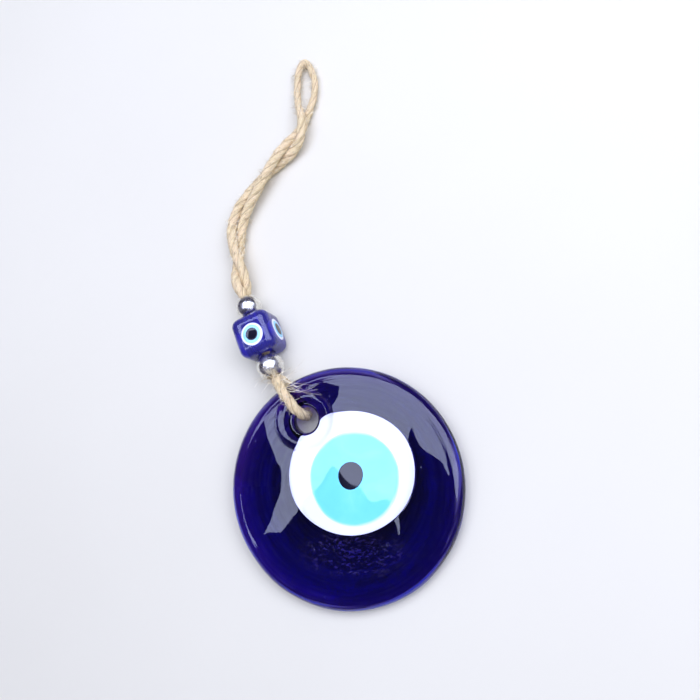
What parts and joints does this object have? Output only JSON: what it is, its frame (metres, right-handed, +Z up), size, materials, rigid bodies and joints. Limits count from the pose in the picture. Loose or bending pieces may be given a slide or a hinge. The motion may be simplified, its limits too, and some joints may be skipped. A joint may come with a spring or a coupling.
{
  "type": "evil eye ornament",
  "caption": "Round cobalt glass amulet with an eye of white, pale blue and black glass, on doubled jute twine with a cube eye bead between silver beads and a hanging loop.",
  "frame": {"origin": "on the table under the middle of the disc and its beads, with the twine left out of the reckoning", "axes": "+X to the right across the disc's face, +Y from the disc towards the hanging loop, +Z up out of the table through the disc's front"},
  "size_m": [0.086, 0.1984, 0.0159],
  "materials": {
    "cobalt_glass": "fire-polished, translucent at thin edges",
    "white_glass": "fire-polished, opaque",
    "pale_blue_glass": "fire-polished, opaque",
    "black_glass": "fire-polished, opaque",
    "silver_bead": "mirror polished",
    "jute_twine": "coarse twisted natural fibre"
  },
  "bodies": {
    "disc": {"glass_disc": "cobalt_glass", "eye_white": "white_glass", "eye_iris": "pale_blue_glass", "eye_pupil": "black_glass"},
    "twine_loop": {"twine_through_disc": "jute_twine", "twine_in_lower_bead": "jute_twine"},
    "lower_bead": {"lower_silver_bead": "silver_bead"},
    "bead_string": {"twine_in_upper_beads": "jute_twine"},
    "cube": {"cube_bead": "cobalt_glass", "cube_white_front": "white_glass", "cube_iris_front": "pale_blue_glass", "cube_pupil_front": "black_glass", "cube_white_right": "white_glass", "cube_iris_right": "pale_blue_glass", "cube_pupil_right": "black_glass", "cube_white_back": "white_glass", "cube_iris_back": "pale_blue_glass", "cube_pupil_back": "black_glass", "cube_white_left": "white_glass", "cube_iris_left": "pale_blue_glass", "cube_pupil_left": "black_glass"},
    "upper_bead": {"upper_silver_bead": "silver_bead"},
    "hanging_cord": {"hanging_twine": "jute_twine"}
  },
  "joints": [
    {"name": "loop_swing", "type": "hinge", "parent": "disc", "child": "twine_loop", "pos_m": [-0.01275, 0.00856, 0.00813], "axis": [0.0297, -0.0518, 0.9982], "range_deg": [-40, 30]},
    {"name": "lower_bead_spin", "type": "hinge", "parent": "twine_loop", "child": "lower_bead", "pos_m": [-0.02672, 0.02771, 0.00725], "axis": [-0.3746, 0.9272, 0], "continuous": true},
    {"name": "string_fold", "type": "hinge", "parent": "twine_loop", "child": "bead_string", "pos_m": [-0.02672, 0.02771, 0.00725], "axis": [0.9272, 0.3746, 0], "range_deg": [-75, 75]},
    {"name": "cube_spin", "type": "hinge", "parent": "bead_string", "child": "cube", "pos_m": [-0.03117, 0.03874, 0.00725], "axis": [-0.3746, 0.9272, 0], "continuous": true},
    {"name": "upper_bead_spin", "type": "hinge", "parent": "bead_string", "child": "upper_bead", "pos_m": [-0.03552, 0.0495, 0.00725], "axis": [-0.3746, 0.9272, 0], "continuous": true},
    {"name": "cord_sway", "type": "hinge", "parent": "bead_string", "child": "hanging_cord", "pos_m": [-0.03552, 0.0495, 0.00725], "axis": [0, 0, 1], "range_deg": [-50, 50]}
  ]
}
